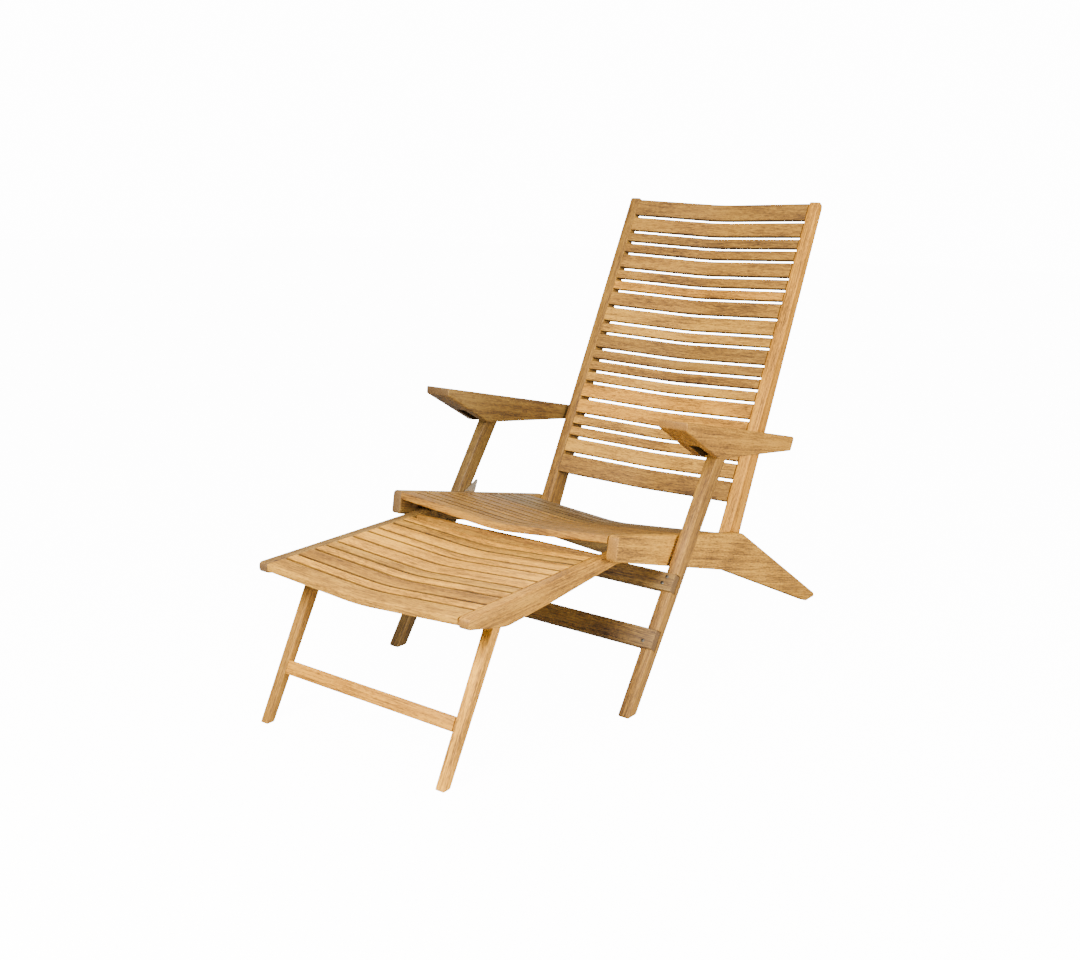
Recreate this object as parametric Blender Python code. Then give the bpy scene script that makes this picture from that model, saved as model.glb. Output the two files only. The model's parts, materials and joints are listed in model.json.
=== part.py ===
"""Folding slatted deck chair in teak, with a fold-out footrest. Metres, +Z up, the sitter faces -Y."""

import math

import bmesh
import bpy

# ---------------------------------------------------------------- driving dimensions
# Y is measured from the front legs' toes, and CENTRE_Y moves the finished chair onto its origin.
CENTRE_Y = 0.2485
GAP = 0.0004

SEAT_SLOPE = math.radians(-11.0)
BACK_LEAN = math.radians(26.6)
LEG_LEAN = math.radians(33.2)
FOOTREST_SLOPE = math.radians(1.9)
FOOTREST_LEG_LEAN = math.radians(26.0)

# Across the chair, each pair is a piece's inner and outer face.
RAIL_X = (0.2500, 0.2720)
LEG_X = (0.2765, 0.3000)
STILE_X = (0.2225, 0.2485)
ARM_X = (0.2550, 0.3160)
FOOTREST_RAIL_X = (0.2195, 0.2420)
FOOTREST_LEG_X = (0.1970, 0.2185)

# Pivots as (Y, Z). Seat rail, leg, arm and back stile form an exact parallelogram.
LEG_PIVOT = (0.203, 0.276)
BACK_PIVOT = (0.484, 0.242)
LINK = (0.126, 0.195)
ARM_PIVOT = (LEG_PIVOT[0] + LINK[0], LEG_PIVOT[1] + LINK[1])
FOOTREST_PIVOT = (0.070, 0.2935)
FOOTREST_LEG_PIVOT = (-0.2875, 0.266)

RAIL_FRONT = (-0.014, 0.3515)
RAIL_BEND = (0.497, 0.2522)
RAIL_UNDER_BEND = (0.425, 0.1853)
FOOT_TIP = (0.930, 0.003)

LEG_DEPTH_FOOT = 0.0273
LEG_DEPTH_GAIN = 0.0205
LEG_TOP = 0.594
CROSSBAR_DEPTH = 0.020
CROSSBAR_PROUD = 0.003
CROSSBAR_INSET = 0.001
NOTCH_WIDTH = 0.040
UPPER_CROSSBAR = (0.2563, 0.2930)
LOWER_CROSSBAR = (0.1395, 0.1785)

STILE_START_Y = 0.3513
STILE_BOTTOM = 0.248
STILE_TOP = 1.0630
STILE_DEPTH_ZERO = 0.0653
STILE_DEPTH_GAIN = -0.0430

BACK_SLATS_FROM = 0.3492
BACK_SLAT_GAP = 0.0064
BACK_SLAT_THICKNESS = 0.0100
BACK_NARROW = 0.0225
BACK_WIDE = 0.0345
BACK_PATTERN = "WNNWWNNNWNWWNNWNNW"
BACK_ENDS = (0.0453, 0.0407)
BACK_DIP = 0.0190

# A slat's two straight wings meet in a soft fold this far either side of its middle.
FOLD_HALF_WIDTH = 0.0350
SLAT_THICKNESS = 0.0140
NARROW = 0.0244
WIDE = 0.0370
SEAT_SLAT_GAP = 0.0060
SEAT_SLAT_WIDTHS = [0.0440, NARROW, WIDE, NARROW, NARROW, WIDE, WIDE, NARROW, WIDE, NARROW, WIDE, WIDE]
SEAT_DIP = 0.0210
SEAT_INSET = 0.0020
FOOTREST_SLAT_GAP = 0.0047
FOOTREST_SLAT_WIDTHS = [0.0420, NARROW, WIDE, NARROW, NARROW, WIDE, WIDE, NARROW, WIDE, NARROW, NARROW]
FOOTREST_DIP = 0.0145
FOOTREST_FRONT = (-0.402, 0.2925)
FOOTREST_BAR = (-0.002, 0.009)
FOOTREST_BAR_TOP = 0.3045
BAR_HEIGHT = 0.026
BATTEN_X = 0.150
BATTEN_INSET = 0.012
BATTEN_WIDTH = 0.012
BATTEN_HEIGHT = 0.010
BATTEN_SINK = 0.003

FOOTREST_LEG_DEPTH_FOOT = 0.0142
FOOTREST_LEG_DEPTH_GAIN = 0.0303
FOOTREST_LEG_TOP = 0.3125
FOOTREST_LEG_FOOT_Y = -0.4289
FOOTREST_CROSSBAR = (0.0955, 0.1208)
FOOTREST_CROSSBAR_DEPTH = 0.0130

# The blind slot under each arm that the leg's top swings in, measured from the arm's pivot.
ARM_SLOT = (-0.110, 0.066)
ARM_SLOT_ROOF = 0.0225
ARM_SLOT_CUT = 0.080
ARM_SLOT_PLAY = 0.0008

PIN_RADIUS = 0.0040
PIN_HOLE_RADIUS = 0.00415
PIN_BURIED = 0.0080
PIN_SIDES = 16
HOLE_END = 0.0060
THROUGH = 0.0020
PLATE_THICKNESS = 0.0025
PLATE_CORNER = 0.003
# The plate's corners from the leg pivot, in millimetres: up the leg, and back from it.
PLATE_CORNERS = [(-30, -5), (-30, 12), (-6, 24), (50, 31), (80, 25), (27, -6)]

TEAK = (0.62, 0.40, 0.20, 1.0)
STEEL = (0.62, 0.62, 0.60, 1.0)


# ---------------------------------------------------------------- helpers
def clear_scene():
    for obj in list(bpy.data.objects):
        bpy.data.objects.remove(obj, do_unlink=True)


def new_collection(name):
    collection = bpy.data.collections.new(name)
    bpy.context.scene.collection.children.link(collection)
    return collection


def material_for(name, colour, roughness, metallic):
    material = bpy.data.materials.new(name)
    material.use_nodes = True
    shader = material.node_tree.nodes["Principled BSDF"]
    shader.inputs["Base Color"].default_value = colour
    shader.inputs["Roughness"].default_value = roughness
    shader.inputs["Metallic"].default_value = metallic
    return material


def along(start_y, lean, distance, back=0.0):
    """The (Y, Z) point on a bar that leans rearwards: distance up its front edge, back at right angles."""
    y = start_y + distance * math.sin(lean) + back * math.cos(lean)
    z = distance * math.cos(lean) - back * math.sin(lean)
    return (y, z)


def rounded(corners, steps=4):
    """The outline through corners (y, z, radius), with each corner turned into an arc of that radius."""
    outline = []
    count = len(corners)
    for i, (y, z, radius) in enumerate(corners):
        if radius == 0:
            outline.append((y, z))
            continue
        before = corners[i - 1]
        after = corners[(i + 1) % count]
        to_before = math.atan2(before[1] - z, before[0] - y)
        to_after = math.atan2(after[1] - z, after[0] - y)
        turn = (to_after - to_before + math.pi) % math.tau - math.pi
        half = abs(turn) / 2
        middle = to_before + turn / 2
        centre_y = y + radius / math.sin(half) * math.cos(middle)
        centre_z = z + radius / math.sin(half) * math.sin(middle)
        sweep = math.pi - 2 * half
        first = middle + math.pi - math.copysign(sweep / 2, -turn)
        for k in range(steps + 1):
            angle = first + math.copysign(sweep, -turn) * k / steps
            outline.append((centre_y + radius * math.cos(angle), centre_z + radius * math.sin(angle)))
    return outline


def plate_mesh(name, outline, thickness):
    """A flat outline made solid: a filled 2D curve, extruded both ways and turned into a mesh."""
    curve = bpy.data.curves.new(name, "CURVE")
    curve.dimensions = "2D"
    curve.fill_mode = "BOTH"
    curve.extrude = thickness / 2
    spline = curve.splines.new("POLY")
    spline.points.add(len(outline) - 1)
    for point, (u, v) in zip(spline.points, outline):
        point.co = (u, v, 0, 1)
    spline.use_cyclic_u = True
    guide = bpy.data.objects.new(name + "_guide", curve)
    bpy.context.scene.collection.objects.link(guide)
    graph = bpy.context.evaluated_depsgraph_get()
    mesh = bpy.data.meshes.new_from_object(guide.evaluated_get(graph))
    mesh.name = name
    bpy.data.objects.remove(guide)
    bpy.data.curves.remove(curve)
    shape = bmesh.new()
    shape.from_mesh(mesh)
    bmesh.ops.remove_doubles(shape, verts=shape.verts, dist=0.00001)
    bmesh.ops.recalc_face_normals(shape, faces=shape.faces)
    shape.to_mesh(mesh)
    shape.free()
    return mesh


def add_piece(name, mesh, pivot, location, rotation=(0.0, 0.0, 0.0)):
    """A named piece at its place in the chair, parented to the empty of the body that it moves with."""
    piece = bpy.data.objects.new(name, mesh)
    chair.objects.link(piece)
    piece.parent = pivot
    held = pivot_places[pivot.name]
    piece.location = (location[0], location[1] - held[0], location[2] - held[1])
    piece.rotation_euler = rotation
    steel = any(word in name for word in ("pin", "plate"))
    colour = STEEL if steel else TEAK
    finish = (0.35, 0.9) if steel else (0.6, 0.0)
    piece.data.materials.clear()
    piece.data.materials.append(material_for(name, colour, *finish))
    return piece


def side_piece(name, outline, faces, side, pivot):
    """A board that stands along the chair: an outline in Y and Z between two faces across it."""
    mesh = plate_mesh(name, outline, faces[1] - faces[0])
    middle = side * (faces[0] + faces[1]) / 2
    return add_piece(name, mesh, pivot, (middle, 0, 0), (math.pi / 2, 0, math.pi / 2))


def box_piece(name, size, centre, lean, pivot):
    """A straight bar across the chair, turned about X by lean."""
    return add_piece(name, box_mesh(size), pivot, (0, centre[0], centre[1]), (lean, 0, 0))


def cutter_object(mesh, location, rotation):
    cutter = bpy.data.objects.new("cutter", mesh)
    cutters.objects.link(cutter)
    cutter.location = (location[0], location[1] - CENTRE_Y, location[2])
    cutter.rotation_euler = rotation
    cutter.hide_render = True
    cutter.display_type = "WIRE"
    return cutter


def cut(piece, cutter):
    boolean = piece.modifiers.new("cut", "BOOLEAN")
    boolean.operation = "DIFFERENCE"
    boolean.solver = "EXACT"
    boolean.object = cutter


def cylinder_mesh(radius, length):
    mesh = bpy.data.meshes.new("cylinder")
    shape = bmesh.new()
    bmesh.ops.create_cone(
        shape, cap_ends=True, segments=PIN_SIDES, radius1=radius, radius2=radius, depth=length
    )
    shape.to_mesh(mesh)
    shape.free()
    return mesh


def drill(piece, side, place, faces, inward=HOLE_END, outward=HOLE_END):
    """A pin's hole through a board's faces in X, that stops short of each by inward and outward."""
    start = faces[0] + inward
    end = faces[1] - outward
    mesh = cylinder_mesh(PIN_HOLE_RADIUS, end - start)
    location = (side * (start + end) / 2, place[0], place[1])
    cut(piece, cutter_object(mesh, location, (0, math.pi / 2, 0)))


def box_mesh(size):
    mesh = bpy.data.meshes.new("box")
    shape = bmesh.new()
    bmesh.ops.create_cube(shape, size=1)
    bmesh.ops.scale(shape, vec=size, verts=shape.verts)
    shape.to_mesh(mesh)
    shape.free()
    return mesh


def cut_box(piece, size, centre_x, centre, lean):
    cut(piece, cutter_object(box_mesh(size), (centre_x, centre[0], centre[1]), (lean, 0, 0)))


def join(piece, other):
    union = piece.modifiers.new("join", "BOOLEAN")
    union.operation = "UNION"
    union.solver = "EXACT"
    union.object = other


def pin_piece(name, side, place, start, end, pivot):
    """A pivot pin across the chair, blind at both ends inside the wood."""
    location = (side * (start + end) / 2, place[0], place[1])
    add_piece(name, cylinder_mesh(PIN_RADIUS, end - start), pivot, location, (0, math.pi / 2, 0))


def slat_mesh(name, half_length, dip, width, thickness):
    """A slat seen from its end: two straight wings that sink to a soft fold in the middle."""
    soft = FOLD_HALF_WIDTH
    slope = dip / half_length
    stations = [half_length, soft, 0.6 * soft, 0.25 * soft]
    stations = stations + [-x for x in reversed(stations)]

    def surface(x):
        if abs(x) >= soft:
            return -dip + slope * abs(x)
        return -dip + slope * (soft + x * x / soft) / 2

    top = [(x, surface(x)) for x in stations]
    under = [(x, surface(x) - thickness) for x in reversed(stations)]
    return plate_mesh(name, top + under, width)


def pivot_empty(name, place, parent):
    empty = bpy.data.objects.new(name, None)
    chair.objects.link(empty)
    pivot_places[name] = place
    if parent is None:
        empty.location = (0, place[0] - CENTRE_Y, place[1])
        return empty
    empty.parent = parent
    held = pivot_places[parent.name]
    empty.location = (0, place[0] - held[0], place[1] - held[1])
    return empty


# ---------------------------------------------------------------- seat frame
def rail_outline():
    """Seat rail and rear leg in one board: a slow fall to the bend, then a tapered leg to the floor."""
    return rounded(
        [
            (RAIL_FRONT[0], RAIL_FRONT[1], 0.007),
            (RAIL_FRONT[0] - 0.0065, 0.3050, 0.006),
            (0.180, 0.2520, 0),
            (RAIL_UNDER_BEND[0], RAIL_UNDER_BEND[1], 0.120),
            (0.880, 0.0, 0.010),
            (FOOT_TIP[0], 0.0, 0.0045),
            (FOOT_TIP[0] - 0.008, FOOT_TIP[1] + 0.0085, 0.006),
            (RAIL_BEND[0], RAIL_BEND[1], 0.060),
        ]
    )


def make_rails():
    for side, word in ((-1, "left"), (1, "right")):
        rail = side_piece("side_rail_" + word, rail_outline(), RAIL_X, side, seat_pivot)
        drill(rail, side, LEG_PIVOT, RAIL_X, outward=-THROUGH)
        drill(rail, side, BACK_PIVOT, RAIL_X, inward=-THROUGH)
        drill(rail, side, FOOTREST_PIVOT, RAIL_X, inward=-THROUGH)


def make_slats(prefix, sizes, start, slope, half_length, dip, facing, pivot):
    """A row of slats from start (Y, Z) along slope, with sizes (widths, gap, thickness)."""
    widths, gap, thickness = sizes
    run = 0.0
    for number, width in enumerate(widths, 1):
        name = f"{prefix}_{number:02d}"
        middle = run + width / 2
        place = (start[0] + middle * math.cos(slope), start[1] + middle * math.sin(slope))
        mesh = slat_mesh(name, half_length, dip, width, thickness)
        add_piece(name, mesh, pivot, (0, place[0], place[1]), (facing, 0, 0))
        run += width + gap


def make_seat():
    inset = (-SEAT_INSET * math.sin(-SEAT_SLOPE), -SEAT_INSET * math.cos(SEAT_SLOPE))
    start = (RAIL_FRONT[0] + inset[0], RAIL_FRONT[1] + inset[1])
    facing = math.pi / 2 + SEAT_SLOPE
    half = RAIL_X[0] - GAP
    sizes = (SEAT_SLAT_WIDTHS, SEAT_SLAT_GAP, SLAT_THICKNESS)
    make_slats("seat_slat", sizes, start, SEAT_SLOPE, half, SEAT_DIP, facing, seat_pivot)


# ---------------------------------------------------------------- front legs
def leg_depth(distance):
    return LEG_DEPTH_FOOT + LEG_DEPTH_GAIN * distance


def leg_outline():
    top_front = along(0, LEG_LEAN, LEG_TOP)
    top_rear = along(0, LEG_LEAN, LEG_TOP, leg_depth(LEG_TOP))
    toe = (0.0, 0.0)
    heel = (LEG_DEPTH_FOOT / math.cos(LEG_LEAN), 0.0)
    return rounded(
        [
            (*toe, 0.0040),
            (*heel, 0.0060),
            (top_rear[0], top_rear[1], 0.0185),
            (top_front[0], top_front[1], 0.0165),
        ]
    )


def crossbar_centre(span):
    return along(0, LEG_LEAN, sum(span) / 2, CROSSBAR_DEPTH / 2 - CROSSBAR_PROUD)


def make_legs():
    tall = CROSSBAR_DEPTH + 2 * GAP
    for side, word in ((-1, "left"), (1, "right")):
        leg = side_piece("front_leg_" + word, leg_outline(), LEG_X, side, leg_pivot)
        middle = side * (LEG_X[0] + LEG_X[1]) / 2
        for span in (UPPER_CROSSBAR, LOWER_CROSSBAR):
            size = (NOTCH_WIDTH, tall, span[1] - span[0] + 2 * GAP)
            cut_box(leg, size, middle, crossbar_centre(span), -LEG_LEAN)
        drill(leg, side, LEG_PIVOT, LEG_X, inward=-THROUGH)
        drill(leg, side, ARM_PIVOT, LEG_X, -THROUGH, -THROUGH)
        make_plate(side, word)
    for name, span in (("upper_crossbar", UPPER_CROSSBAR), ("lower_crossbar", LOWER_CROSSBAR)):
        size = (2 * (LEG_X[1] - CROSSBAR_INSET), CROSSBAR_DEPTH, span[1] - span[0])
        box_piece(name, size, crossbar_centre(span), -LEG_LEAN, leg_pivot)


def make_plate(side, word):
    """The steel pivot plate between the leg and the rail, drawn along the leg and across it."""
    outline = []
    for up, back in PLATE_CORNERS:
        y = LEG_PIVOT[0] + 0.001 * (up * math.sin(LEG_LEAN) + back * math.cos(LEG_LEAN))
        z = LEG_PIVOT[1] + 0.001 * (up * math.cos(LEG_LEAN) - back * math.sin(LEG_LEAN))
        outline.append((y, z, PLATE_CORNER))
    middle = (RAIL_X[1] + LEG_X[0]) / 2
    faces = (middle - PLATE_THICKNESS / 2, middle + PLATE_THICKNESS / 2)
    plate = side_piece("leg_plate_" + word, rounded(outline, 3), faces, side, leg_pivot)
    drill(plate, side, LEG_PIVOT, faces, -THROUGH, -THROUGH)


# ---------------------------------------------------------------- backrest
def stile_depth(distance):
    return STILE_DEPTH_ZERO + STILE_DEPTH_GAIN * distance


def stile_outline():
    bottom_front = along(STILE_START_Y, BACK_LEAN, STILE_BOTTOM)
    bottom_rear = along(STILE_START_Y, BACK_LEAN, STILE_BOTTOM, stile_depth(STILE_BOTTOM))
    top_rear = along(STILE_START_Y, BACK_LEAN, STILE_TOP, stile_depth(STILE_TOP))
    top_front = along(STILE_START_Y, BACK_LEAN, STILE_TOP)
    return rounded([(*bottom_front, 0.009), (*bottom_rear, 0.012), (*top_rear, 0.009), (*top_front, 0.004)])


def make_back():
    for side, word in ((-1, "left"), (1, "right")):
        stile = side_piece("back_stile_" + word, stile_outline(), STILE_X, side, back_pivot)
        drill(stile, side, BACK_PIVOT, STILE_X, outward=-THROUGH)
    start = along(STILE_START_Y, BACK_LEAN, BACK_SLATS_FROM)
    half = STILE_X[0] - GAP
    upwards = math.pi / 2 - BACK_LEAN
    facing = math.pi - BACK_LEAN
    middle_widths = [BACK_WIDE if letter == "W" else BACK_NARROW for letter in BACK_PATTERN]
    widths = [BACK_ENDS[0], *middle_widths, BACK_ENDS[1]]
    sizes = (widths, BACK_SLAT_GAP, BACK_SLAT_THICKNESS)
    make_slats("back_slat", sizes, start, upwards, half, BACK_DIP, facing, back_pivot)


# ---------------------------------------------------------------- arms
def arm_outline():
    return rounded(
        [
            (0.1380, 0.5456, 0.003),
            (0.1375, 0.5295, 0.003),
            (0.2795, 0.4550, 0.006),
            (0.3450, 0.4485, 0),
            (0.6150, 0.4210, 0.005),
            (0.6300, 0.4501, 0.006),
        ]
    )


def make_arms():
    slot_width = LEG_X[1] - LEG_X[0] + 2 * ARM_SLOT_PLAY
    slot_length = ARM_SLOT[1] - ARM_SLOT[0]
    run = sum(ARM_SLOT) / 2
    rise = ARM_SLOT_ROOF - ARM_SLOT_CUT / 2
    y = ARM_PIVOT[0] + run * math.cos(SEAT_SLOPE) - rise * math.sin(SEAT_SLOPE)
    z = ARM_PIVOT[1] + run * math.sin(SEAT_SLOPE) + rise * math.cos(SEAT_SLOPE)
    size = (slot_width, slot_length, ARM_SLOT_CUT)
    for side, word in ((-1, "left"), (1, "right")):
        arm = side_piece("arm_" + word, arm_outline(), ARM_X, side, arm_pivot)
        cut_box(arm, size, side * (LEG_X[0] + LEG_X[1]) / 2, (y, z), SEAT_SLOPE)
        drill(arm, side, ARM_PIVOT, ARM_X)


# ---------------------------------------------------------------- footrest
def footrest_rail_outline():
    return rounded(
        [
            (-0.4025, 0.2930, 0.007),
            (-0.4025, 0.2750, 0.008),
            (-0.3000, 0.2530, 0.080),
            (-0.1730, 0.2620, 0),
            (0.0320, 0.2830, 0),
            (0.0600, 0.2800, 0),
            (0.0860, 0.2800, 0.008),
            (0.0840, 0.3085, 0.008),
        ]
    )


def make_footrest():
    for side, word in ((-1, "left"), (1, "right")):
        rail = side_piece(
            "footrest_rail_" + word, footrest_rail_outline(), FOOTREST_RAIL_X, side, footrest_pivot
        )
        drill(rail, side, FOOTREST_PIVOT, FOOTREST_RAIL_X, outward=-THROUGH)
        drill(rail, side, FOOTREST_LEG_PIVOT, FOOTREST_RAIL_X, inward=-THROUGH)
    make_footrest_slats()


def make_footrest_slats():
    """The footrest's slats and its rear bar as one panel, joined by two battens under them."""
    half = FOOTREST_RAIL_X[0] - GAP
    facing = math.pi / 2 + FOOTREST_SLOPE
    run = 0.0
    solid = None
    for width in FOOTREST_SLAT_WIDTHS:
        middle = run + width / 2
        y = FOOTREST_FRONT[0] + middle * math.cos(FOOTREST_SLOPE)
        z = FOOTREST_FRONT[1] + middle * math.sin(FOOTREST_SLOPE) - 0.0005
        mesh = slat_mesh("footrest_slats", half, FOOTREST_DIP, width, SLAT_THICKNESS)
        if solid is None:
            solid = add_piece("footrest_slats", mesh, footrest_pivot, (0, y, z), (facing, 0, 0))
        else:
            join(solid, cutter_object(mesh, (0, y, z), (facing, 0, 0)))
        run += width + FOOTREST_SLAT_GAP
    bar_thickness = FOOTREST_BAR[1] - FOOTREST_BAR[0]
    bar = box_mesh((2 * half, bar_thickness, BAR_HEIGHT))
    bar_place = (0, sum(FOOTREST_BAR) / 2, FOOTREST_BAR_TOP - BAR_HEIGHT / 2)
    join(solid, cutter_object(bar, bar_place, (FOOTREST_SLOPE, 0, 0)))
    start = FOOTREST_FRONT[0] + BATTEN_INSET
    length = FOOTREST_BAR[0] + bar_thickness / 2 - start
    for side in (-1, 1):
        sink = FOOTREST_DIP * (1 - BATTEN_X / half) + SLAT_THICKNESS + BATTEN_SINK
        y = start + length / 2
        z = FOOTREST_FRONT[1] + (y - FOOTREST_FRONT[0]) * math.tan(FOOTREST_SLOPE) - sink
        batten = box_mesh((BATTEN_WIDTH, length, BATTEN_HEIGHT))
        join(solid, cutter_object(batten, (side * BATTEN_X, y, z), (FOOTREST_SLOPE, 0, 0)))


def footrest_leg_outline():
    start, lean, top = FOOTREST_LEG_FOOT_Y, FOOTREST_LEG_LEAN, FOOTREST_LEG_TOP
    depth = FOOTREST_LEG_DEPTH_FOOT + FOOTREST_LEG_DEPTH_GAIN * top
    heel = (start + FOOTREST_LEG_DEPTH_FOOT / math.cos(lean), 0.0)
    return rounded(
        [
            (start, 0.0, 0.0),
            (*heel, 0.0045),
            (*along(start, lean, top, depth), 0.0110),
            (*along(start, lean, top), 0.0110),
        ]
    )


def make_footrest_legs():
    for side, word in ((-1, "left"), (1, "right")):
        leg = side_piece(
            "footrest_leg_" + word, footrest_leg_outline(), FOOTREST_LEG_X, side, footrest_leg_pivot
        )
        drill(leg, side, FOOTREST_LEG_PIVOT, FOOTREST_LEG_X, outward=-THROUGH)
    low, high = FOOTREST_CROSSBAR
    depth = FOOTREST_CROSSBAR_DEPTH
    centre = along(FOOTREST_LEG_FOOT_Y, FOOTREST_LEG_LEAN, (low + high) / 2, depth / 2)
    size = (2 * (FOOTREST_LEG_X[0] - GAP), depth, high - low)
    box_piece("footrest_crossbar", size, centre, -FOOTREST_LEG_LEAN, footrest_leg_pivot)


# ---------------------------------------------------------------- pivot pins
def make_pins():
    pins = (
        ("leg_pin_", LEG_PIVOT, RAIL_X[0], LEG_X[1], leg_pivot),
        ("back_pin_", BACK_PIVOT, STILE_X[0], RAIL_X[1], back_pivot),
        ("arm_pin_", ARM_PIVOT, ARM_X[0], ARM_X[1], arm_pivot),
        ("footrest_pin_", FOOTREST_PIVOT, FOOTREST_RAIL_X[0], RAIL_X[1], footrest_pivot),
        ("footrest_leg_pin_", FOOTREST_LEG_PIVOT, FOOTREST_LEG_X[0], FOOTREST_RAIL_X[1], footrest_leg_pivot),
    )
    for name, place, inner, outer, pivot in pins:
        for side, word in ((-1, "left"), (1, "right")):
            pin_piece(name + word, side, place, inner + PIN_BURIED, outer - PIN_BURIED, pivot)


clear_scene()
chair = new_collection("folding_deck_chair")
cutters = new_collection("cutters")
pivot_places = {}
seat_pivot = pivot_empty("seat_frame_origin", (0.0, 0.0), None)
leg_pivot = pivot_empty("front_leg_pivot", LEG_PIVOT, seat_pivot)
back_pivot = pivot_empty("back_pivot", BACK_PIVOT, seat_pivot)
arm_pivot = pivot_empty("arm_pivot", ARM_PIVOT, leg_pivot)
footrest_pivot = pivot_empty("footrest_pivot", FOOTREST_PIVOT, seat_pivot)
footrest_leg_pivot = pivot_empty("footrest_leg_pivot", FOOTREST_LEG_PIVOT, footrest_pivot)
make_rails()
make_seat()
make_legs()
make_back()
make_arms()
make_footrest()
make_footrest_legs()
make_pins()
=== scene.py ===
"""Looks of the folding teak deck chair: rounded timbers, dished slats, wood grain, steel and a studio."""

import json
import math
import random

import bmesh
import bpy
from mathutils import Matrix, Vector


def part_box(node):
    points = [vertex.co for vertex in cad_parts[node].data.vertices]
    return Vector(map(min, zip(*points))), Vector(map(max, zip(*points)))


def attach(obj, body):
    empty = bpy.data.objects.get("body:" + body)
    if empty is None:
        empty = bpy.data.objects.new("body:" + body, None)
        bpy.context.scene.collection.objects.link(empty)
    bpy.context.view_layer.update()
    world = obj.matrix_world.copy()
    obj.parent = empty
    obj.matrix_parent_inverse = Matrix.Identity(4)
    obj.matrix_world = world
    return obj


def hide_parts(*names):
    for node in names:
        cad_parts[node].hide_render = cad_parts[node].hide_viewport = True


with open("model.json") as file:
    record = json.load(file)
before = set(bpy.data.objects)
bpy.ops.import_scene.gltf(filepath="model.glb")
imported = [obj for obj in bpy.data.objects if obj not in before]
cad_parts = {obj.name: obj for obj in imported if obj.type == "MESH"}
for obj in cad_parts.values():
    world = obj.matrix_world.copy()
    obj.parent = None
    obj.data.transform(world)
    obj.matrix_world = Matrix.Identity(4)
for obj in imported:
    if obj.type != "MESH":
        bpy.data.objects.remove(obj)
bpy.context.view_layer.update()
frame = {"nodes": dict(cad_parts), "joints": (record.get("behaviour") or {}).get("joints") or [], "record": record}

# ---------------------------------------------------------------- driving values
# Slopes of the seat, the back, the legs and the footrest, and of the grain in the side rails.
SEAT_SLOPE = math.radians(-11.0)
BACK_LEAN = math.radians(26.6)
LEG_LEAN = math.radians(33.2)
FOOTREST_SLOPE = math.radians(1.9)
FOOTREST_LEG_LEAN = math.radians(26.0)
RAIL_GRAIN = math.radians(-14.0)
BACK_PLANE = math.pi / 2 - BACK_LEAN
LEG_PLANE = math.pi / 2 - LEG_LEAN
FOOTREST_LEG_PLANE = math.pi / 2 - FOOTREST_LEG_LEAN

# A dished slat is two straight wings and a fold between them, lofted through stations along it.
SLAT_THICKNESS = 0.0140
SLAT_STATIONS = 44
FOLD_HALF_WIDTH = 0.035
# The frame's slats have flat facets in the fold, whose inner points lie this far from the middle.
FOLD_FACET = FOLD_HALF_WIDTH / 4

# The footrest's slats, front to rear, and its rear bar are one node in the frame and twelve pieces here.
FRONT_SLAT = 0.0420
NARROW = 0.0244
WIDE = 0.0370
SLAT_GAP = 0.0047
FOOTREST_WIDTHS = [FRONT_SLAT, NARROW, WIDE, NARROW, NARROW, WIDE, WIDE, NARROW, WIDE, NARROW, NARROW]
FOOTREST_DIP = 0.0145
REAR_BAR_THICKNESS = 0.011
REAR_BAR_HEIGHT = 0.026

# Radii of the rounded edges, and the angles from which an edge is shaded as sharp.
SLAT_EDGE = 0.0022
BOARD_EDGE = 0.0032
BAR_EDGE = 0.0016
STEEL_EDGE = 0.0004
ROUNDING_STEPS = 3
STEEL_ROUNDING_STEPS = 2
TIMBER_SMOOTH = math.radians(35)
ROUND_SMOOTH = math.radians(40)

# Arrises stay sharp this near to a pin's axis, and to the box of a piece let into the board.
PIN_REACH = 0.006
LAP_REACH = 0.002

# How squarely a board's sides and its narrow faces look along local Z, and when a bar's edge is a corner.
SIDE_FACING = 0.9
NARROW_FACING = 0.3
CORNER_ANGLE = math.radians(50)

# Faces this far inside a board's sides belong to its slots and holes, which get painted shade.
HOLLOW_DEPTH = 0.006

# Points this near to an end face, or to a board's side, belong to it.
AT_END = 0.001
AT_SIDE = 0.0005
MERGE_DISTANCE = 0.00002
FLAT_ANGLE = math.radians(1.0)

# A screw head's rings from its sunk rim to the socket's floor: radius, height and number of sides.
SCREW_STEPS = 24
SOCKET_SIDES = 6
SCREW_PROFILE = [
    (0.0036, -0.0008, SCREW_STEPS),
    (0.0036, 0.0003, SCREW_STEPS),
    (0.0030, 0.0008, SCREW_STEPS),
    (0.0018, 0.0009, SOCKET_SIDES),
    (0.0017, 0.0002, SOCKET_SIDES),
]

# The screws of a crossbar: distance in from the bar's end, and distance up from its middle.
CROSSBAR_DEPTH = 0.020
UPPER_SCREWS = [(0.0165, 0.0092), (0.0220, -0.0045)]
LOWER_SCREWS = [(0.0215, -0.0070)]

# The timber's base colours by tone, from dark streaks to pale wood.
TEAK_COLOURS = [
    (0.53, (0.120, 0.058, 0.016)),
    (0.61, (0.284, 0.140, 0.027)),
    (0.69, (0.485, 0.237, 0.030)),
    (0.78, (0.715, 0.380, 0.045)),
]
PORE_COLOUR = (0.15, 0.074, 0.022, 1.0)
END_GRAIN_COLOUR = (0.36, 0.185, 0.040, 1.0)
END_DOT_COLOUR = (0.17, 0.080, 0.018, 1.0)
# The near-black of painted shade, on the slats' long edges in the gaps and over the boards' hollows.
PAINTED_SHADE_COLOUR = (0.02, 0.010, 0.004, 1.0)

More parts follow.
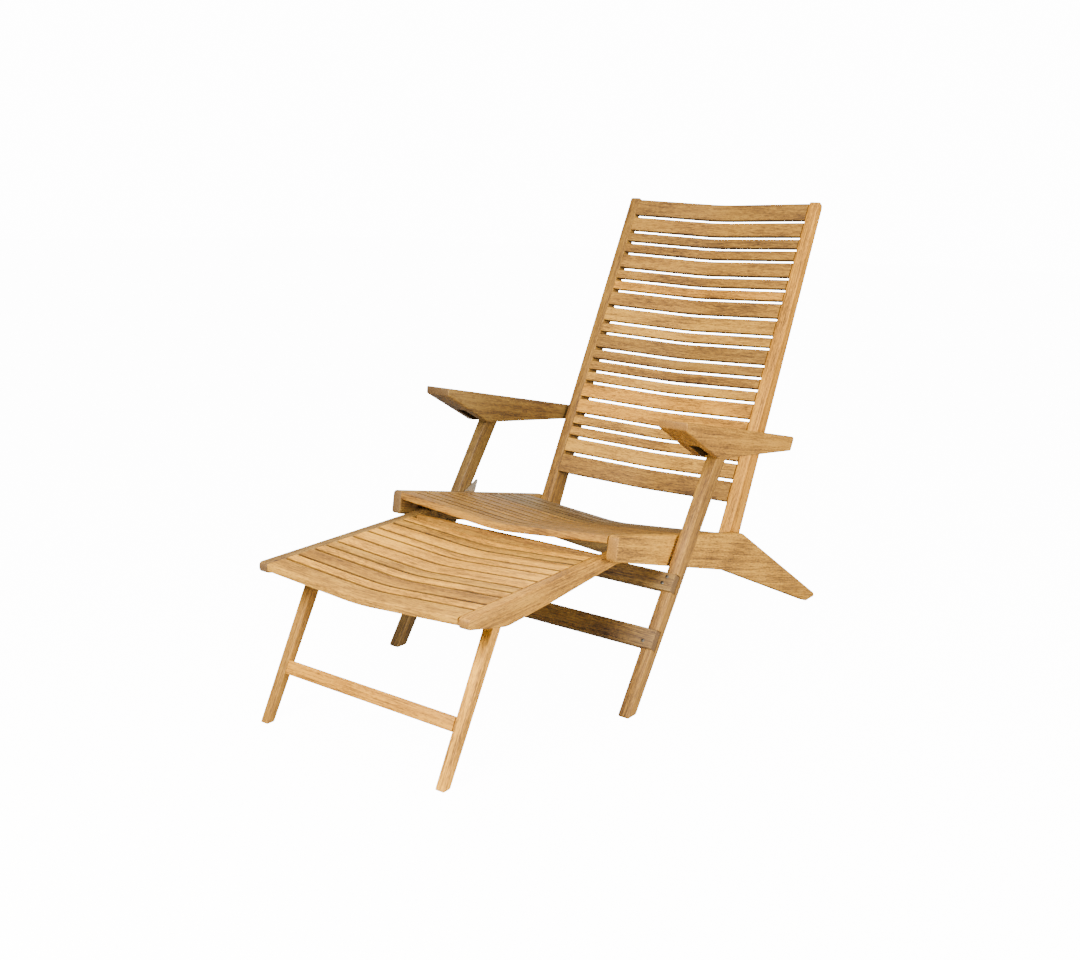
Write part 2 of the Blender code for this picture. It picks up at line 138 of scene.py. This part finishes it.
# Layers of noise that add up to the tone: how fast each varies along and across the grain, per metre,
# its detail and roughness, and its share.
GRAIN_LAYERS = {
    "broad": (1.6, 70.0, 3.0, 0.55, 0.30),
    "middle": (4.0, 230.0, 4.0, 0.65, 0.26),
    "fine": (16.0, 520.0, 3.0, 0.70, 0.50),
    "dashes": (90.0, 420.0, 2.0, 0.65, 0.36),
    "cloud": (6.0, 14.0, 2.0, 0.50, 0.28),
}
TONE_START = -0.150

# Marks in the timber: how fast the noise behind each varies along and across the grain, per metre,
# its detail and roughness, and the noise values where the mark begins and is full.
GRAIN_MARKS = {
    "ring_fade": (2.0, 40.0, 3.0, 0.50, 0.30, 0.75),
    "heartwood": (1.1, 120.0, 2.0, 0.50, 0.60, 0.74),
    "pores": (110.0, 800.0, 2.0, 0.60, 0.55, 0.68),
    "end_dots": (60.0, 900.0, 2.0, 0.50, 0.45, 0.62),
}
LATE_WOOD_SHARE = 0.05
HEARTWOOD_SHARE = 0.04
PORE_STRENGTH = 0.50
END_GRAIN_STRENGTH = 0.75

# The log's heart lies beside and behind the board and tilts against it, by waves that swing with the
# board's seed, each at its own rate and reach. Its growth rings wander a little along the board.
SEED_TURN = 37.0
SEED_SHIFT = (31.0, 17.0, 23.0)
HEART_SWINGS = {
    "tilt_y": ("SINE", 1.0, 0.035),
    "tilt_z": ("COSINE", 1.7, 0.050),
    "beside": ("SINE", 2.3, 0.055),
    "behind": ("SINE", 3.1, 0.020),
}
HEART_DEPTH = 0.045
WANDER_NOISE = (3.2, 9.0, 2.0)
WANDER_REACH = 0.008
RINGS_PER_METRE = 260.0
# The dark part of each ring, from its beginning to its darkest, in shares of the ring.
LATE_WOOD = (0.45, 1.0)

# How far a surface faces along local X before it shows end grain, and along local Y before it is an edge.
END_FACING = (0.60, 0.95)
EDGE_FACING = (0.20, 0.70)

# The range that most of a noise's values lie in, and the roughness at both of its ends.
NOISE_RANGE = (0.3, 0.7)
TEAK_ROUGHNESS = (0.62, 0.48)
STEEL_ROUGHNESS = (0.30, 0.45)
TEAK_SPECULAR = 0.35

# The relief of the timber's surface: fibres stand up, and pores and late wood are sunk.
FIBRE_RELIEF = 0.50
PORE_RELIEF = 0.60
LATE_WOOD_RELIEF = 0.25

# The steel's scratches and dull patches per metre, and how its tone follows the patches.
STEEL_SCRATCHES = (900.0, 60.0, 900.0)
STEEL_PATCHES = 60.0
PATCH_TONE = 0.25
STEEL_TONE = 0.45
STEEL_BLUE = 0.98

# How much the brightness of the boards of one tone varies in all.
SHADE_SPREAD = 0.10

# Tones as (red, green, blue) multipliers of the base timber: partly the wood's own colour and partly painted light
# and shade. "dark" and "deep", with their raised blue, paint the shade of pieces in shadow and its cooler colour,
# and "pale" and "gold" partly paint extra light.
TONES = {
    "plain": (1.0, 1.0, 1.0),
    "pale": (1.54, 1.48, 1.00),
    "gold": (1.16, 1.05, 0.66),
    "tan": (0.86, 0.83, 0.86),
    "brown": (0.70, 0.68, 0.80),
    "walnut": (0.58, 0.58, 0.80),
    "dark": (0.49, 0.56, 1.25),
    "deep": (0.37, 0.43, 0.95),
}

# Tones of the slats by number, where they aren't the usual tone of their row. The seat's "deep" slats are
# partly painted shade.
BACK_TONES = {
    1: "walnut", 3: "tan", 5: "gold", 6: "gold", 8: "brown", 9: "walnut", 10: "walnut", 13: "brown",
    14: "gold", 15: "brown", 16: "brown", 17: "brown", 18: "walnut", 19: "brown", 20: "walnut",
}
SEAT_TONES = {1: "brown", 4: "brown", 9: "deep", 10: "deep", 11: "deep", 12: "deep"}
FOOTREST_TONES = {1: "plain", 3: "tan", 5: "plain", 10: "plain"}

# The long boards: slope of the grain, tone of the left and right one, and the pieces let into them. The left
# tones are darker partly as painted shade on the left pieces' shaded faces, and "pale" and "gold" on the right
# partly as painted light.
BOARDS = {
    "side_rail": (RAIL_GRAIN, "dark", "plain", ()),
    "front_leg": (LEG_PLANE, "deep", "walnut", ("upper_crossbar", "lower_crossbar")),
    "back_stile": (BACK_PLANE, "walnut", "gold", ()),
    "arm": (SEAT_SLOPE, "deep", "tan", ()),
    "footrest_rail": (FOOTREST_SLOPE, "dark", "tan", ()),
    "footrest_leg": (FOOTREST_LEG_PLANE, "brown", "pale", ()),
}

# The studio: the room's own light, and the white that the camera sees on the floor and behind it.
WHITE = (1.0, 1.0, 1.0, 1.0)
ROOM_COLOUR = (0.86, 0.95, 1.05, 1.0)
ROOM_LIGHT = 0.24
FLOOR_SIZE = 40.0
PAPER_TONE = (0.40, 0.42)
FLOOR_GLOW = 14.0
BACKDROP_GLOW = 14.5

# The lamps: place, target, diameter and power in watts.
LAMP_COLOUR = (1.0, 0.90, 0.72)
LAMPS = {
    "key": ((0.20, -1.80, 1.38), (0.0, -0.3, 0.35), 1.0, 84.0),
    "side": ((2.9, -0.1, 0.75), (0.0, 0.1, 0.5), 1.0, 115.0),
    "overhead": ((0.2, -0.3, 3.2), (0.0, 0.0, 0.3), 1.6, 50.0),
    "rear": ((-1.3, 2.6, 1.5), (0.0, 0.4, 0.5), 1.6, 30.0),
}

# The camera: its place, its direction from the chair, its roll, its lens and sensor in millimetres, and
# its shift in widths of the picture.
CAMERA_PLACE = (1.3592, -2.0435, 0.9313)
CAMERA_AZIMUTH = math.radians(35.431)
CAMERA_HEIGHT = math.radians(13.403)
CAMERA_ROLL = math.radians(1.604)
CAMERA_LENS = 40.11
SENSOR_WIDTH = 36.0
CAMERA_SHIFT = (0.0017, 0.0087)

body_of_node = {
    node: body for body, nodes in frame["record"]["behaviour"]["bodies"].items() for node in nodes
}
pivots = [Vector(joint["pos_m"][1:]) for joint in frame["joints"]]


# ---------------------------------------------------------------- materials
class Graph:
    """A material's node tree, with one short call for each node."""

    def __init__(self, name):
        self.material = bpy.data.materials.new(name)
        self.material.use_nodes = True
        self.tree = self.material.node_tree
        self.shader = self.tree.nodes["Principled BSDF"]

    def node(self, kind, settings=None, **inputs):
        """A new node. An input is given by its name, or as i0, i1 and so on by its number."""
        made = self.tree.nodes.new(kind)
        for key, value in (settings or {}).items():
            setattr(made, key, value)
        for key, value in inputs.items():
            numbered = key[0] == "i" and key[1:].isdigit()
            self.set(made.inputs[int(key[1:]) if numbered else key], value)
        return made

    def set(self, socket, value):
        if isinstance(value, bpy.types.NodeSocket):
            self.tree.links.new(value, socket)
        else:
            socket.default_value = value

    def set_shader(self, **inputs):
        """Shader inputs by name, with an underscore for each space."""
        for key, value in inputs.items():
            self.set(self.shader.inputs[key.replace("_", " ")], value)

    def math(self, operation, *values):
        numbered = {f"i{number}": value for number, value in enumerate(values)}
        return self.node("ShaderNodeMath", {"operation": operation}, **numbered).outputs[0]

    def vector(self, operation, first, second):
        made = self.node("ShaderNodeVectorMath", {"operation": operation}, i0=first, i1=second)
        return made.outputs[0]

    def noise(self, vector, scale, detail, rough=0.5):
        made = self.node("ShaderNodeTexNoise", Vector=vector, Scale=scale, Detail=detail, Roughness=rough)
        return made.outputs["Fac"]

    def fibre(self, spot, along, across, detail, rough=0.5):
        """Noise drawn out along local X, at so many changes per metre along it and across it."""
        return self.noise(self.vector("MULTIPLY", spot, (along, across, across)), 1.0, detail, rough)

    def between(self, value, low, high, to_low=0.0, to_high=1.0):
        """The value's place between low and high, eased at both ends and scaled to the new limits."""
        made = self.node("ShaderNodeMapRange", {"interpolation_type": "SMOOTHSTEP"}, Value=value)
        made.inputs["From Min"].default_value = low
        made.inputs["From Max"].default_value = high
        made.inputs["To Min"].default_value = to_low
        made.inputs["To Max"].default_value = to_high
        return made.outputs["Result"]

    def mix(self, factor, first, second, blend="MIX"):
        """A colour mix. Its colour sockets are numbered, because their names repeat."""
        settings = {"data_type": "RGBA", "blend_type": blend}
        return self.node("ShaderNodeMix", settings, i0=factor, i6=first, i7=second).outputs[2]

    def ramp(self, factor, stops):
        made = self.node("ShaderNodeValToRGB", Fac=factor)
        elements = made.color_ramp.elements
        while len(elements) < len(stops):
            elements.new(0.5)
        for element, (position, colour) in zip(elements, stops):
            element.position = position
            element.color = (*colour, 1.0)
        return made.outputs["Color"]

    def bump(self, height, strength, distance):
        made = self.node("ShaderNodeBump", Strength=strength, Distance=distance, Height=height)
        self.set_shader(Normal=made.outputs["Normal"])


def grain_mark(g, spot, mark):
    """How strong a mark of the timber is at each spot, from 0 to 1."""
    along, across, detail, rough, begins, full = GRAIN_MARKS[mark]
    return g.between(g.fibre(spot, along, across, detail, rough), begins, full)


def log_radius(g, place, spot, seed):
    """Distance from the log's heart, which lies beside the board and at a slight angle to it."""
    turn = g.math("MULTIPLY", seed, SEED_TURN)
    swing = {}
    for name, (wave, rate, reach) in HEART_SWINGS.items():
        swing[name] = g.math("MULTIPLY", g.math(wave, g.math("MULTIPLY", turn, rate)), reach)
    x, y, z = g.node("ShaderNodeSeparateXYZ", Vector=place).outputs
    wander = g.math("MULTIPLY", g.math("SUBTRACT", g.fibre(spot, *WANDER_NOISE), 0.5), WANDER_REACH)
    tilted_y = g.math("MULTIPLY_ADD", x, swing["tilt_y"], wander)
    tilted_z = g.math("MULTIPLY", x, swing["tilt_z"])
    from_y = g.math("ADD", g.math("ADD", y, swing["beside"]), tilted_y)
    from_z = g.math("ADD", g.math("ADD", z, g.math("ADD", swing["behind"], HEART_DEPTH)), tilted_z)
    squares = g.math("ADD", g.math("MULTIPLY", from_y, from_y), g.math("MULTIPLY", from_z, from_z))
    return g.math("SQRT", squares)


def teak_material(name, painted_edge_shade=0.0, painted_face_shade=0.0):
    """Teak cut from a log that lies along local X: growth rings, fibre streaks, pores and end grain.

    The object's colour is its tone, which is partly painted light and shade, and its alpha is a seed that gives
    each board its own grain. All of it is darkened by the painted face shade, and the faces towards local Y and
    -Y, which are a slat's long edges, by the painted edge shade more: painted shade for a board's hollows and for
    the gaps between slats.
    """
    g = Graph(name)
    coordinates = g.node("ShaderNodeTexCoord")
    place = coordinates.outputs["Object"]
    facing_x, facing_y, _ = g.node("ShaderNodeSeparateXYZ", Vector=coordinates.outputs["Normal"]).outputs
    info = g.node("ShaderNodeObjectInfo")
    seed = info.outputs["Alpha"]
    shift = g.node("ShaderNodeVectorMath", {"operation": "SCALE"}, i0=SEED_SHIFT, Scale=seed)
    spot = g.vector("ADD", place, shift.outputs[0])

    # Late wood is the dark side of each growth ring, and fades in and out along the board.
    rings = g.math("FRACT", g.math("MULTIPLY", log_radius(g, place, spot, seed), RINGS_PER_METRE))
    late = g.math("MULTIPLY", g.between(rings, *LATE_WOOD), grain_mark(g, spot, "ring_fade"))
    heartwood = grain_mark(g, spot, "heartwood")
    pores = grain_mark(g, spot, "pores")

    tone = TONE_START
    layers = {}
    for layer, (along, across, detail, rough, share) in GRAIN_LAYERS.items():
        layers[layer] = g.fibre(spot, along, across, detail, rough)
        tone = g.math("ADD", tone, g.math("MULTIPLY", layers[layer], share))
    tone = g.math("SUBTRACT", tone, g.math("MULTIPLY", late, LATE_WOOD_SHARE))
    tone = g.math("SUBTRACT", tone, g.math("MULTIPLY", heartwood, HEARTWOOD_SHARE))
    colour = g.ramp(tone, TEAK_COLOURS)
    colour = g.mix(g.math("MULTIPLY", pores, PORE_STRENGTH), colour, PORE_COLOUR)

    # End grain is darker and shows the pores as dots.
    ends = g.between(g.math("ABSOLUTE", facing_x), *END_FACING)
    end_colour = g.mix(grain_mark(g, spot, "end_dots"), END_GRAIN_COLOUR, END_DOT_COLOUR)
    colour = g.mix(g.math("MULTIPLY", ends, END_GRAIN_STRENGTH), colour, end_colour)

    # Each piece's tone, partly painted light and shade, tints the timber.
    colour = g.mix(1.0, colour, info.outputs["Color"], "MULTIPLY")
    # Painted shade: the faces towards local Y and -Y, a slat's long edges, darken towards near-black for the shade
    # in the gaps between slats, and the whole material darkens where it paints a board's hollows in shade.
    edges = g.between(g.math("ABSOLUTE", facing_y), *EDGE_FACING)
    colour = g.mix(g.math("MULTIPLY_ADD", edges, painted_edge_shade, painted_face_shade), colour, PAINTED_SHADE_COLOUR)
    roughness = g.between(layers["fine"], *NOISE_RANGE, *TEAK_ROUGHNESS)
    g.set_shader(Base_Color=colour, Roughness=roughness, Specular_IOR_Level=TEAK_SPECULAR)

    height = g.math("MULTIPLY", layers["fine"], FIBRE_RELIEF)
    height = g.math("SUBTRACT", height, g.math("MULTIPLY", pores, PORE_RELIEF))
    height = g.math("SUBTRACT", height, g.math("MULTIPLY", late, LATE_WOOD_RELIEF))
    g.bump(height, strength=0.35, distance=0.0006)
    return g.material


def steel_material(name, brightness):
    """Brushed stainless steel with fine scratches along local Y and a few dull patches."""
    g = Graph(name)
    place = g.node("ShaderNodeTexCoord").outputs["Object"]
    brushed = g.noise(g.vector("MULTIPLY", place, STEEL_SCRATCHES), 1.0, 2.0)
    patches = g.noise(place, STEEL_PATCHES, 3.0)
    tone = g.math("MULTIPLY", g.math("MULTIPLY_ADD", patches, PATCH_TONE, STEEL_TONE), brightness)
    blue = g.math("MULTIPLY", tone, STEEL_BLUE)
    shade = g.node("ShaderNodeCombineColor", Red=tone, Green=tone, Blue=blue)
    roughness = g.between(brushed, *NOISE_RANGE, *STEEL_ROUGHNESS)
    g.set_shader(Base_Color=shade.outputs[0], Metallic=1.0, Roughness=roughness)
    g.bump(brushed, strength=0.2, distance=0.0002)
    return g.material


def paper_material():
    """White paper that the camera sees brighter than it lights the chair."""
    g = Graph("floor_paper")
    paper = g.noise(g.node("ShaderNodeTexCoord").outputs["Object"], 30.0, 3.0)
    seen = g.node("ShaderNodeLightPath").outputs["Is Camera Ray"]
    glow = g.math("MULTIPLY", seen, FLOOR_GLOW)
    tone = g.between(paper, *NOISE_RANGE, *PAPER_TONE)
    shade = g.node("ShaderNodeCombineColor", Red=tone, Green=tone, Blue=tone)
    g.set_shader(Base_Color=shade.outputs[0], Roughness=0.9, Specular_IOR_Level=0.1)
    g.set_shader(Emission_Color=WHITE, Emission_Strength=glow)
    return g.material


teak = teak_material("teak")
# Two copies of the teak with painted shade: on the slats' long edges, for the gaps between them, and over a
# board's hollows.
painted_edge_teak = teak_material("teak_shaded_edges", painted_edge_shade=0.80)
painted_hollow_teak = teak_material("teak_hollow", painted_face_shade=0.85)
steel = steel_material("stainless", 1.3)
dark_steel = steel_material("dark_steel", 0.22)


# ---------------------------------------------------------------- making and finishing a piece
def add_piece(name, shape, placement, smooth_angle):
    """Puts a finished bmesh in the scene, shaded smooth except over its sharper edges."""
    for face in shape.faces:
        face.smooth = True
    for edge in shape.edges:
        edge.smooth = edge.calc_face_angle(math.pi) < smooth_angle
    mesh = bpy.data.meshes.new(name)
    shape.to_mesh(mesh)
    shape.free()
    piece = bpy.data.objects.new(name, mesh)
    bpy.context.scene.collection.objects.link(piece)
    piece.matrix_world = placement
    return piece


def finish_wood(piece, node, tone, material):
    """Gives a wooden piece its tone, seed and body, and hides the CAD node that it stands for."""
    seed = random.Random(piece.name).random()
    shade = 1 + SHADE_SPREAD * (random.Random(piece.name + "shade").random() - 0.5)
    piece.color = [*(value * shade for value in TONES[tone]), seed]
    piece.data.materials.append(material)
    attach(piece, body_of_node[node])
    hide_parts(node)


def round_edges(shape, edges, radius, clamp=False):
    """Rounds the edges over, by less than the radius where clamp is set and two would meet."""
    bmesh.ops.bevel(
        shape,
        geom=edges,
        offset=radius,
        segments=ROUNDING_STEPS,
        profile=0.5,
        affect="EDGES",
        clamp_overlap=clamp,
    )


def close_loft(shape, loops):
    """Joins each loop of points to the next with faces, and closes both ends."""
    count = len(loops[0])
    for first, second in zip(loops, loops[1:]):
        for i in range(count):
            j = (i + 1) % count
            shape.faces.new((first[i], first[j], second[j], second[i]))
    shape.faces.new(loops[0])
    shape.faces.new(list(reversed(loops[-1])))
    bmesh.ops.recalc_face_normals(shape, faces=shape.faces)


def local_copy(node, placement):
    """The CAD node's shape as a bmesh in the placement's own axes, its flat faces whole again."""
    shape = bmesh.new()
    shape.from_mesh(frame["nodes"][node].data)
    bmesh.ops.transform(shape, matrix=placement.inverted(), verts=shape.verts)
    bmesh.ops.remove_doubles(shape, verts=shape.verts, dist=MERGE_DISTANCE)
    bmesh.ops.dissolve_limit(
        shape, angle_limit=FLAT_ANGLE, verts=shape.verts, edges=shape.edges, use_dissolve_boundaries=False
    )
    return shape


def points_in_plane(node, plane):
    """The CAD node's points, turned so that Y runs up the plane, and the turn itself."""
    turn = Matrix.Rotation(-plane, 4, "X")
    return [turn @ vertex.co for vertex in frame["nodes"][node].data.vertices], turn


def centre_of(node):
    low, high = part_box(node)
    return (Vector(low) + Vector(high)) / 2


def board_axes(node, grain):
    """Local X along the grain, which rises by that angle towards +Y, and local Z across the chair."""
    turn = Matrix(
        (
            (0.0, 0.0, 1.0),
            (math.cos(grain), -math.sin(grain), 0.0),
            (math.sin(grain), math.cos(grain), 0.0),
        )
    )
    return Matrix.Translation(centre_of(node)) @ turn.to_4x4()


def cross_axes(place, plane):
    """Local X across the chair, local Y up the plane and local Z out of its show side."""
    return Matrix.Translation(place) @ Matrix.Rotation(plane, 4, "X")


# ---------------------------------------------------------------- boards and bars
def kept_sharp(edge, placement, laps):
    """Whether an edge lies on a lap joint or in a pin's hole, where the timber isn't rounded over."""
    middle = placement @ ((edge.verts[0].co + edge.verts[1].co) / 2)
    if any((Vector((middle.y, middle.z)) - pivot).length < PIN_REACH for pivot in pivots):
        return True
    for low, high in laps:
        if all(low[i] - LAP_REACH < middle[i] < high[i] + LAP_REACH for i in range(3)):
            return True
    return False


def is_arris(edge, outside):
    """Whether an edge runs where one of a board's sides meets a narrow face."""
    facing = sorted(abs(face.normal.z) for face in edge.link_faces)
    return facing[0] < NARROW_FACING and facing[-1] > SIDE_FACING and abs(edge.verts[0].co.z) > outside


def paint_hollow_shade(mesh):
    """Gives the faces wholly inside a board, which are a slot's or a hole's, a timber with painted deep shade."""
    inside = max(vertex.co.z for vertex in mesh.vertices) - HOLLOW_DEPTH
    mesh.materials.append(painted_hollow_teak)
    for face in mesh.polygons:
        if all(abs(mesh.vertices[i].co.z) < inside for i in face.vertices):
            face.material_index = 1


def board(node, grain, tone, let_in):
    """A long timber whose arrises are rounded over, except where another piece is let into it."""
    placement = board_axes(node, grain)
    shape = local_copy(node, placement)
    laps = [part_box(lap) for lap in let_in]
    outside = max(vertex.co.z for vertex in shape.verts) - AT_SIDE
    arrises = [edge for edge in shape.edges if is_arris(edge, outside)]
    rounded = [edge for edge in arrises if not kept_sharp(edge, placement, laps)]
    round_edges(shape, rounded, BOARD_EDGE, clamp=True)
    piece = add_piece(node + "_timber", shape, placement, TIMBER_SMOOTH)
    finish_wood(piece, node, tone, teak)
    # Painted deep shade over the board's slots and holes.
    paint_hollow_shade(piece.data)


def crossbar(node, plane, tone):
    """A straight bar across the chair with eased edges."""
    placement = cross_axes(centre_of(node), plane)
    shape = local_copy(node, placement)
    corners = [edge for edge in shape.edges if edge.calc_face_angle(0.0) > CORNER_ANGLE]
    round_edges(shape, corners, BAR_EDGE)
    finish_wood(add_piece(node + "_timber", shape, placement, TIMBER_SMOOTH), node, tone, teak)


# ---------------------------------------------------------------- steel
def screw_head(name, placement, body):
    """A low domed screw head with a hexagon socket, its underside sunk in the wood."""
    shape = bmesh.new()
    rings = []
    for radius, height, sides in SCREW_PROFILE:
        ring = []
        for step in range(SCREW_STEPS):
            angle = math.tau * step / SCREW_STEPS
            sector = math.pi / sides
            reach = radius * math.cos(sector) / math.cos((angle % (2 * sector)) - sector)
            ring.append(shape.verts.new((reach * math.cos(angle), reach * math.sin(angle), height)))
        rings.append(ring)
    close_loft(shape, rings)
    piece = add_piece(name, shape, placement, ROUND_SMOOTH)
    piece.data.materials.append(dark_steel)
    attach(piece, body)


def crossbar_screws(node, places):
    """Screws through a crossbar's front face into both legs."""
    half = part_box(node)[1][0]
    front = cross_axes(centre_of(node), LEG_PLANE) @ Matrix.Translation((0.0, 0.0, CROSSBAR_DEPTH / 2))
    for number, (inset, up) in enumerate(places, 1):
        for side, word in ((-1, "left"), (1, "right")):
            place = front @ Matrix.Translation((side * (half - inset), up, 0.0))
            screw_head(f"{node}_screw_{word}_{number}", place, body_of_node[node])


def steel_parts():
    """The pins and plates keep their CAD shape, with eased edges and a steel finish."""
    for node in body_of_node:
        if "pin" not in node and "plate" not in node:
            continue
        part = frame["nodes"][node]
        part.data.materials.clear()
        part.data.materials.append(steel)
        edge = part.modifiers.new("edge", "BEVEL")
        edge.width = STEEL_EDGE
        edge.segments = STEEL_ROUNDING_STEPS
        edge.limit_method = "ANGLE"


# ---------------------------------------------------------------- slats
def dish_rise(x):
    """How far a slat's face at x lies above the line where its wings would meet, for a slope of one."""
    reach = abs(x)
    if reach >= FOLD_HALF_WIDTH:
        return reach
    return (FOLD_HALF_WIDTH + x * x / FOLD_HALF_WIDTH) / 2


def slat_section(width, thickness):
    """The slat's end seen along X, as (Y, Z) points, with its four long edges rounded."""
    corners = [(1, 1), (-1, 1), (-1, -1), (1, -1)]
    section = []
    for number, (side, top) in enumerate(corners):
        centre_y = side * (width / 2 - SLAT_EDGE)
        centre_z = -thickness / 2 + top * (thickness / 2 - SLAT_EDGE)
        for step in range(ROUNDING_STEPS + 1):
            angle = math.pi / 2 * (number + step / ROUNDING_STEPS)
            section.append((centre_y + SLAT_EDGE * math.cos(angle), centre_z + SLAT_EDGE * math.sin(angle)))
    return section


def slat(name, placement, half, width, dip, thickness=SLAT_THICKNESS):
    """A dished slat, lofted from its section along X. The top of its ends lies at local Z 0."""
    shape = bmesh.new()
    section = slat_section(width, thickness)
    loops = []
    for station in range(SLAT_STATIONS + 1):
        x = -half + 2 * half * station / SLAT_STATIONS
        sunk = dip - dip / half * dish_rise(x)
        loops.append([shape.verts.new((x, y, z - sunk)) for y, z in section])
    close_loft(shape, loops)
    return add_piece(name, shape, placement, ROUND_SMOOTH)


def slat_from_node(node, plane, tone):
    """A slat that takes its length, width and dish from the CAD node, and its place too."""
    points, turn = points_in_plane(node, plane)
    half = max(point.x for point in points)
    near, far = min(point.y for point in points), max(point.y for point in points)
    ends_top = max(point.z for point in points if point.x > half - AT_END)
    ends_low = min(point.z for point in points if point.x > half - AT_END)
    middle_top = max(point.z for point in points if abs(point.x) < FOLD_FACET + AT_END)
    dip = (ends_top - middle_top) * half / (half - dish_rise(FOLD_FACET))
    origin = turn.inverted() @ Vector((0.0, (near + far) / 2, ends_top))
    piece = slat(node + "_timber", cross_axes(origin, plane), half, far - near, dip, ends_top - ends_low)
    # The slats behind the front one get painted shade on their long edges, for the gaps between slats.
    finish_wood(piece, node, tone, teak if node == "seat_slat_01" else painted_edge_teak)


def slats_from_nodes(row, plane, tones, usual_tone):
    """All the slats whose node names start with the row's name and end in their number."""
    for node in sorted(name for name in body_of_node if name.startswith(row)):
        number = int(node.removeprefix(row))
        slat_from_node(node, plane, tones.get(number, usual_tone))


def footrest_slats():
    """The eleven slats and the rear bar that the CAD holds as one joined panel."""
    node = "footrest_slats"
    low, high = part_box(node)
    half = high[0]
    points, turn = points_in_plane(node, FOOTREST_SLOPE)
    in_front = low[1] + FRONT_SLAT / 2
    ends_top = max(point.z for point in points if point.x > half - AT_END and point.y < in_front)
    front = min(point.y for point in points)
    for number, width in enumerate(FOOTREST_WIDTHS, 1):
        place = turn.inverted() @ Vector((0.0, front + width / 2, ends_top))
        name = f"footrest_slat_{number:02d}"
        piece = slat(name, cross_axes(place, FOOTREST_SLOPE), half, width, FOOTREST_DIP)
        # Behind the front slat, the slats' long edges get painted shade for the gaps between them.
        material = teak if number == 1 else painted_edge_teak
        # The slats' usual pale tone is partly painted light.
        finish_wood(piece, node, FOOTREST_TONES.get(number, "pale"), material)
        front += width + SLAT_GAP

    shape = bmesh.new()
    bmesh.ops.create_cube(shape, size=1)
    bmesh.ops.scale(shape, vec=(2 * half, REAR_BAR_THICKNESS, REAR_BAR_HEIGHT), verts=shape.verts)
    round_edges(shape, shape.edges[:], BAR_EDGE)
    rear = max(point.y for point in points)
    top = max(point.z for point in points if point.y > rear - AT_END)
    place = turn.inverted() @ Vector((0.0, rear - REAR_BAR_THICKNESS / 2, top - REAR_BAR_HEIGHT / 2))
    bar = add_piece("footrest_rear_bar", shape, cross_axes(place, FOOTREST_SLOPE), TIMBER_SMOOTH)
    # The rear bar's brown is partly painted shade, for the seat's shadow on it.
    finish_wood(bar, node, "brown", teak)


# ---------------------------------------------------------------- the chair
for side in ("left", "right"):
    for kind, (grain, left_tone, right_tone, let_in) in BOARDS.items():
        board(f"{kind}_{side}", grain, left_tone if side == "left" else right_tone, let_in)
slats_from_nodes("seat_slat_", SEAT_SLOPE, SEAT_TONES, "walnut")
slats_from_nodes("back_slat_", BACK_PLANE, BACK_TONES, "plain")
# The crossbars under the seat are dark partly as painted shade, and the footrest's crossbar gold partly as painted
# light.
crossbar("upper_crossbar", LEG_PLANE, "dark")
crossbar("lower_crossbar", LEG_PLANE, "dark")
crossbar_screws("upper_crossbar", UPPER_SCREWS)
crossbar_screws("lower_crossbar", LOWER_SCREWS)
crossbar("footrest_crossbar", FOOTREST_LEG_PLANE, "gold")
footrest_slats()
steel_parts()


# ---------------------------------------------------------------- studio
def studio_floor():
    bpy.ops.mesh.primitive_plane_add(size=FLOOR_SIZE)
    floor = bpy.context.object
    floor.name = "floor"
    floor.data.materials.append(paper_material())


def studio_world():
    """A soft room, with a backdrop that the camera sees as white."""
    world = bpy.data.worlds.new("studio")
    world.use_nodes = True
    tree = world.node_tree
    room = tree.nodes["Background"]
    room.inputs["Color"].default_value = ROOM_COLOUR
    room.inputs["Strength"].default_value = ROOM_LIGHT
    backdrop = tree.nodes.new("ShaderNodeBackground")
    backdrop.inputs["Color"].default_value = WHITE
    backdrop.inputs["Strength"].default_value = BACKDROP_GLOW
    seen = tree.nodes.new("ShaderNodeLightPath").outputs["Is Camera Ray"]
    both = tree.nodes.new("ShaderNodeMixShader")
    tree.links.new(seen, both.inputs[0])
    tree.links.new(room.outputs[0], both.inputs[1])
    tree.links.new(backdrop.outputs[0], both.inputs[2])
    tree.links.new(both.outputs[0], tree.nodes["World Output"].inputs["Surface"])
    bpy.context.scene.world = world


def studio_lamp(name, place, target, diameter, power):
    light = bpy.data.lights.new(name, "AREA")
    light.shape = "DISK"
    light.size = diameter
    light.energy = power
    light.color = LAMP_COLOUR
    lamp = bpy.data.objects.new(name, light)
    bpy.context.scene.collection.objects.link(lamp)
    lamp.location = place
    lamp.rotation_euler = (Vector(target) - Vector(place)).to_track_quat("-Z", "Y").to_euler()


def studio_camera():
    """A view from the front right, a little above the seat, turned by a slight roll."""
    outward = Vector((math.sin(CAMERA_AZIMUTH), -math.cos(CAMERA_AZIMUTH), 0.0))
    right = Vector((math.cos(CAMERA_AZIMUTH), math.sin(CAMERA_AZIMUTH), 0.0))
    back = outward * math.cos(CAMERA_HEIGHT) + Vector((0.0, 0.0, math.sin(CAMERA_HEIGHT)))
    up = back.cross(right)
    side = right * math.cos(CAMERA_ROLL) + up * math.sin(CAMERA_ROLL)
    top = up * math.cos(CAMERA_ROLL) - right * math.sin(CAMERA_ROLL)
    data = bpy.data.cameras.new("camera")
    data.lens = CAMERA_LENS
    data.sensor_width = SENSOR_WIDTH
    data.shift_x, data.shift_y = CAMERA_SHIFT
    camera = bpy.data.objects.new("camera", data)
    bpy.context.scene.collection.objects.link(camera)
    turn = Matrix((side, top, back)).transposed()
    camera.matrix_world = Matrix.Translation(CAMERA_PLACE) @ turn.to_4x4()
    bpy.context.scene.camera = camera


studio_floor()
studio_world()
for name, (place, target, diameter, power) in LAMPS.items():
    studio_lamp(name, place, target, diameter, power)
studio_camera()
